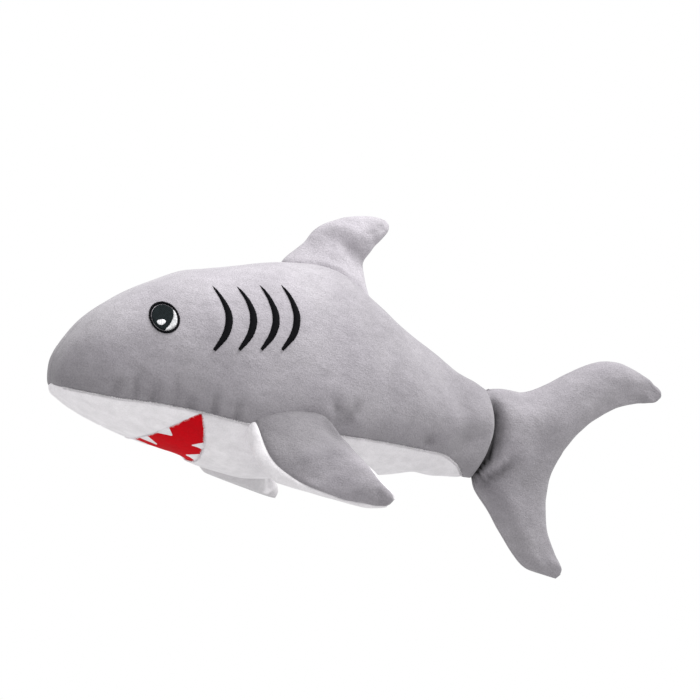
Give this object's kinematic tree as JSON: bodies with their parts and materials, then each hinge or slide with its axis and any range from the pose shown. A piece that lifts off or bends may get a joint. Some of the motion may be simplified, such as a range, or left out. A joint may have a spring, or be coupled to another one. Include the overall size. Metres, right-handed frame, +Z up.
{
  "type": "plush shark toy",
  "caption": "Stuffed grey and white plush shark with embroidered eyes and gill slits, a red felt mouth with teeth, and soft sprung dorsal, pectoral and tail fins.",
  "frame": {"origin": "centre of the bounding box on the floor that the toy stands on", "axes": "+X from the nose to the tail, +Y to the shark's right side, +Z up; the shark leans nose-down on its throat, its pectoral fins and the lower tail lobe"},
  "size_m": [0.3644, 0.2114, 0.1704],
  "materials": {
    "grey_plush": "short velvet pile, matt",
    "white_plush": "short plush pile, matt",
    "red_felt": "satin-faced felt",
    "white_felt": "felt and satin stitch",
    "black_thread": "satin stitch",
    "iris_thread": "satin stitch",
    "stuffing": "polyester fibrefill"
  },
  "bodies": {
    "body": {"body_side_left": "grey_plush", "body_side_right": "grey_plush", "snout_underside": "white_plush", "mouth_panel": "red_felt", "belly_panel": "white_plush", "body_stuffing": "stuffing", "upper_tooth_1": "white_felt", "upper_tooth_2": "white_felt", "upper_tooth_3": "white_felt", "upper_tooth_4": "white_felt", "upper_tooth_5": "white_felt", "lower_tooth_1": "white_felt", "lower_tooth_2": "white_felt", "lower_tooth_3": "white_felt", "lower_tooth_4": "white_felt", "eye_outline_left": "black_thread", "eye_iris_left": "iris_thread", "eye_highlight_left": "white_felt", "eye_crescent_left": "white_felt", "gill_slit_left_1": "black_thread", "gill_slit_left_2": "black_thread", "gill_slit_left_3": "black_thread", "gill_slit_left_4": "black_thread", "eye_outline_right": "black_thread", "eye_iris_right": "iris_thread", "eye_highlight_right": "white_felt", "eye_crescent_right": "white_felt", "gill_slit_right_1": "black_thread", "gill_slit_right_2": "black_thread", "gill_slit_right_3": "black_thread", "gill_slit_right_4": "black_thread"},
    "dorsal_fin": {"dorsal_fin_left_panel": "grey_plush", "dorsal_fin_right_panel": "grey_plush", "dorsal_fin_stuffing": "stuffing"},
    "pectoral_fin_left": {"pectoral_fin_left_top": "grey_plush", "pectoral_fin_left_underside": "white_plush", "pectoral_fin_left_stuffing": "stuffing"},
    "pectoral_fin_right": {"pectoral_fin_right_top": "grey_plush", "pectoral_fin_right_underside": "white_plush", "pectoral_fin_right_stuffing": "stuffing"},
    "tail_fin": {"tail_fin_left_panel": "grey_plush", "tail_fin_right_panel": "grey_plush", "tail_fin_stuffing": "stuffing"}
  },
  "joints": [
    {"name": "dorsal_fin_flop", "type": "hinge", "parent": "body", "child": "dorsal_fin", "pos_m": [-0.0408, 0, 0.1284], "axis": [0.9961, 0, -0.0878], "range_deg": [-25, 25], "stiffness_Nm_per_rad": 0.15},
    {"name": "pectoral_fin_left_flap", "type": "hinge", "parent": "body", "child": "pectoral_fin_left", "pos_m": [-0.04806, -0.0525, 0.03189], "axis": [-0.9494, 0, -0.3139], "range_deg": [-12, 35], "stiffness_Nm_per_rad": 0.6},
    {"name": "pectoral_fin_right_flap", "type": "hinge", "parent": "body", "child": "pectoral_fin_right", "pos_m": [-0.04806, 0.0525, 0.03189], "axis": [0.9494, 0, 0.3139], "range_deg": [-12, 35], "stiffness_Nm_per_rad": 0.6},
    {"name": "tail_swing", "type": "hinge", "parent": "body", "child": "tail_fin", "pos_m": [0.08224, 0, 0.06797], "axis": [-0.0847, 0, 0.9964], "range_deg": [-35, 35], "stiffness_Nm_per_rad": 0.5}
  ]
}
